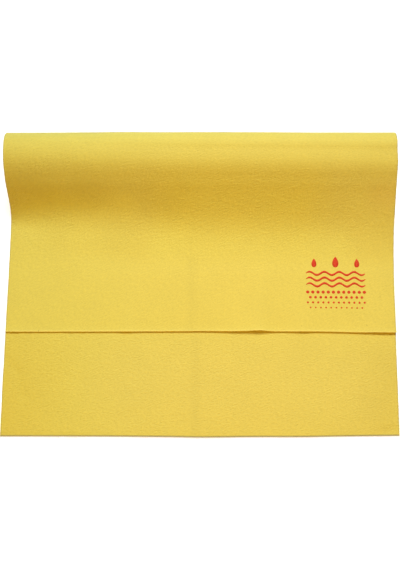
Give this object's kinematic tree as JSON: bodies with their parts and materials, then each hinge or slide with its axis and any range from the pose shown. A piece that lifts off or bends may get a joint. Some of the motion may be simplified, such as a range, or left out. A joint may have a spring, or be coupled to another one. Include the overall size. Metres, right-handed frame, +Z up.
{
  "type": "car drying towel",
  "caption": "Rectangular nonwoven microfibre drying cloth, folded over once into an open rounded loop with the shorter layer on top.",
  "frame": {"origin": "on the table, under the middle of the folded towel's box", "axes": "+X along the fold, +Y to the fold at the back, +Z up"},
  "size_m": [0.35, 0.2726, 0.0468],
  "materials": {
    "cloth": "matt yellow nonwoven microfibre with a fine suede nap",
    "print": "thin matt red screen print that has soaked into the nap"
  },
  "bodies": {
    "lower_panel": {"lower_panel": "cloth"},
    "fold_strip_01": {"fold_strip_01": "cloth"},
    "fold_strip_02": {"fold_strip_02": "cloth"},
    "fold_strip_03": {"fold_strip_03": "cloth"},
    "fold_strip_04": {"fold_strip_04": "cloth"},
    "fold_strip_05": {"fold_strip_05": "cloth"},
    "fold_strip_06": {"fold_strip_06": "cloth"},
    "fold_strip_07": {"fold_strip_07": "cloth"},
    "fold_strip_08": {"fold_strip_08": "cloth"},
    "fold_strip_09": {"fold_strip_09": "cloth"},
    "fold_strip_10": {"fold_strip_10": "cloth"},
    "fold_strip_11": {"fold_strip_11": "cloth"},
    "fold_strip_12": {"fold_strip_12": "cloth"},
    "fold_strip_13": {"fold_strip_13": "cloth"},
    "fold_strip_14": {"fold_strip_14": "cloth"},
    "fold_strip_15": {"fold_strip_15": "cloth"},
    "fold_strip_16": {"fold_strip_16": "cloth"},
    "fold_strip_17": {"fold_strip_17": "cloth"},
    "upper_flap": {"upper_flap": "cloth"}
  },
  "joints": [
    {"name": "unfold", "type": "hinge", "parent": "lower_panel", "child": "fold_strip_01", "pos_m": [0, 0.1101, 0.0005], "axis": [-1, 0, 0], "range_deg": [0, 15]},
    {"name": "bend_02", "type": "hinge", "parent": "fold_strip_01", "child": "fold_strip_02", "pos_m": [0, 0.11875, 0.00282], "axis": [-1, 0, 0], "range_deg": [0, 15]},
    {"name": "bend_03", "type": "hinge", "parent": "fold_strip_02", "child": "fold_strip_03", "pos_m": [0, 0.1265, 0.00729], "axis": [-1, 0, 0], "range_deg": [0, 15]},
    {"name": "bend_04", "type": "hinge", "parent": "fold_strip_03", "child": "fold_strip_04", "pos_m": [0, 0.13162, 0.01241], "axis": [-1, 0, 0], "range_deg": [0, 15]},
    {"name": "bend_05", "type": "hinge", "parent": "fold_strip_04", "child": "fold_strip_05", "pos_m": [0, 0.13439, 0.0172], "axis": [-1, 0, 0], "range_deg": [0, 15]},
    {"name": "bend_06", "type": "hinge", "parent": "fold_strip_05", "child": "fold_strip_06", "pos_m": [0, 0.13582, 0.02254], "axis": [-1, 0, 0], "range_deg": [0, 15]},
    {"name": "bend_07", "type": "hinge", "parent": "fold_strip_06", "child": "fold_strip_07", "pos_m": [0, 0.13582, 0.02807], "axis": [-1, 0, 0], "range_deg": [0, 15]},
    {"name": "bend_08", "type": "hinge", "parent": "fold_strip_07", "child": "fold_strip_08", "pos_m": [0, 0.13439, 0.03341], "axis": [-1, 0, 0], "range_deg": [0, 15]},
    {"name": "bend_09", "type": "hinge", "parent": "fold_strip_08", "child": "fold_strip_09", "pos_m": [0, 0.13162, 0.0382], "axis": [-1, 0, 0], "range_deg": [0, 15]},
    {"name": "bend_10", "type": "hinge", "parent": "fold_strip_09", "child": "fold_strip_10", "pos_m": [0, 0.12771, 0.04211], "axis": [-1, 0, 0], "range_deg": [0, 15]},
    {"name": "bend_11", "type": "hinge", "parent": "fold_strip_10", "child": "fold_strip_11", "pos_m": [0, 0.12292, 0.04488], "axis": [-1, 0, 0], "range_deg": [0, 15]},
    {"name": "bend_12", "type": "hinge", "parent": "fold_strip_11", "child": "fold_strip_12", "pos_m": [0, 0.11758, 0.04631], "axis": [-1, 0, 0], "range_deg": [0, 15]},
    {"name": "bend_13", "type": "hinge", "parent": "fold_strip_12", "child": "fold_strip_13", "pos_m": [0, 0.10889, 0.04631], "axis": [-1, 0, 0], "range_deg": [0, 15]},
    {"name": "bend_14", "type": "hinge", "parent": "fold_strip_13", "child": "fold_strip_14", "pos_m": [0, 0.09745, 0.04324], "axis": [-1, 0, 0], "range_deg": [0, 15]},
    {"name": "bend_15", "type": "hinge", "parent": "fold_strip_14", "child": "fold_strip_15", "pos_m": [0, 0.08719, 0.03732], "axis": [-1, 0, 0], "range_deg": [0, 15]},
    {"name": "bend_16", "type": "hinge", "parent": "fold_strip_15", "child": "fold_strip_16", "pos_m": [0, 0.07255, 0.02268], "axis": [-1, 0, 0], "range_deg": [-15, 0]},
    {"name": "bend_17", "type": "hinge", "parent": "fold_strip_16", "child": "fold_strip_17", "pos_m": [0, 0.05066, 0.01004], "axis": [-1, 0, 0], "range_deg": [-15, 0]},
    {"name": "bend_18", "type": "hinge", "parent": "fold_strip_17", "child": "upper_flap", "pos_m": [0, 0.02624, 0.0035], "axis": [-1, 0, 0], "range_deg": [-15, 0]}
  ],
  "couplings": [
    {"joint": "bend_02", "follows": "unfold", "ratio": 1},
    {"joint": "bend_03", "follows": "unfold", "ratio": 1},
    {"joint": "bend_04", "follows": "unfold", "ratio": 1},
    {"joint": "bend_05", "follows": "unfold", "ratio": 1},
    {"joint": "bend_06", "follows": "unfold", "ratio": 1},
    {"joint": "bend_07", "follows": "unfold", "ratio": 1},
    {"joint": "bend_08", "follows": "unfold", "ratio": 1},
    {"joint": "bend_09", "follows": "unfold", "ratio": 1},
    {"joint": "bend_10", "follows": "unfold", "ratio": 1},
    {"joint": "bend_11", "follows": "unfold", "ratio": 1},
    {"joint": "bend_12", "follows": "unfold", "ratio": 1},
    {"joint": "bend_13", "follows": "unfold", "ratio": 1},
    {"joint": "bend_14", "follows": "unfold", "ratio": 1},
    {"joint": "bend_15", "follows": "unfold", "ratio": 1},
    {"joint": "bend_16", "follows": "unfold", "ratio": -1},
    {"joint": "bend_17", "follows": "unfold", "ratio": -1},
    {"joint": "bend_18", "follows": "unfold", "ratio": -1}
  ]
}
